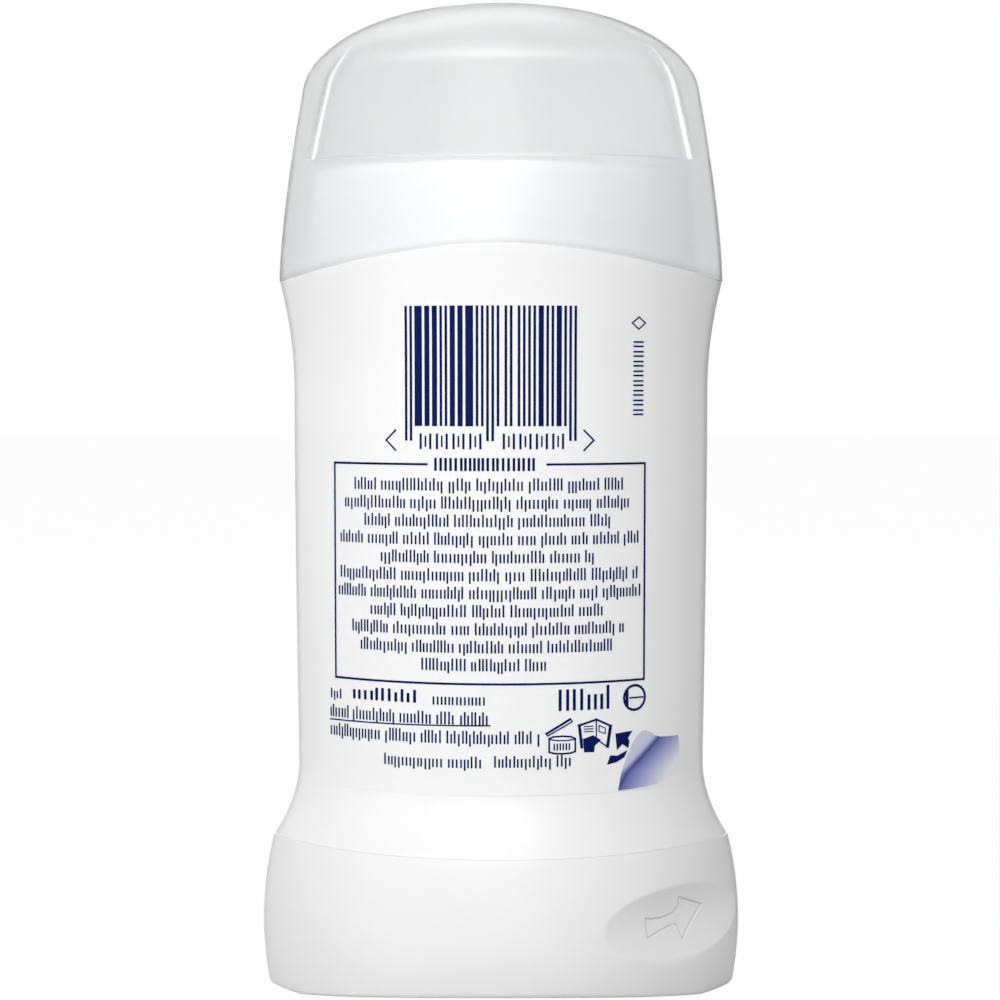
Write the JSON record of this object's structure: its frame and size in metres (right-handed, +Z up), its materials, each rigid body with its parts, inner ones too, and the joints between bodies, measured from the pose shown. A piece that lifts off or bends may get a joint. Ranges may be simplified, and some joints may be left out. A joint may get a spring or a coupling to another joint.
{
  "type": "deodorant stick",
  "caption": "Twist-up deodorant stick with a waisted oval barrel, a turning base with thumb recesses, a frosted lift-off cap and a domed stick on a screw carrier.",
  "frame": {"origin": "centre of the base's footprint, on the surface that the stick stands on", "axes": "+Z up the stick, +X along the oval's long axis, +Y out of the front face; the back label with the print faces -Y"},
  "size_m": [0.0578, 0.0356, 0.1179],
  "materials": {
    "base_plastic": "smooth white moulded plastic with a soft gloss",
    "barrel_plastic": "smooth white moulded plastic with a soft gloss",
    "mechanism_plastic": "plain moulded plastic, out of sight",
    "stick_wax": "waxy white solid, slightly dull",
    "cap_frosted": "frosted translucent plastic",
    "label_film": "white film with dark blue print"
  },
  "bodies": {
    "barrel": {"barrel": "barrel_plastic", "back_label": "label_film"},
    "base": {"twist_base": "base_plastic", "spindle": "mechanism_plastic"},
    "carrier": {"carrier": "mechanism_plastic", "stick": "stick_wax"},
    "cap": {"cap": "cap_frosted"}
  },
  "joints": [
    {"name": "base_turn", "type": "hinge", "parent": "barrel", "child": "base", "pos_m": [0, 0, 0], "axis": [0, 0, 1], "range_deg": [0, 4230]},
    {"name": "carrier_rise", "type": "slide", "parent": "barrel", "child": "carrier", "axis": [0, 0, 1], "range_m": [0, 0.0588]},
    {"name": "cap_lift", "type": "slide", "parent": "carrier", "child": "cap", "axis": [0, 0, 1], "range_m": [0, 0.04]}
  ],
  "couplings": [
    {"joint": "carrier_rise", "follows": "base_turn", "m_per_rad": 0.00079577}
  ]
}
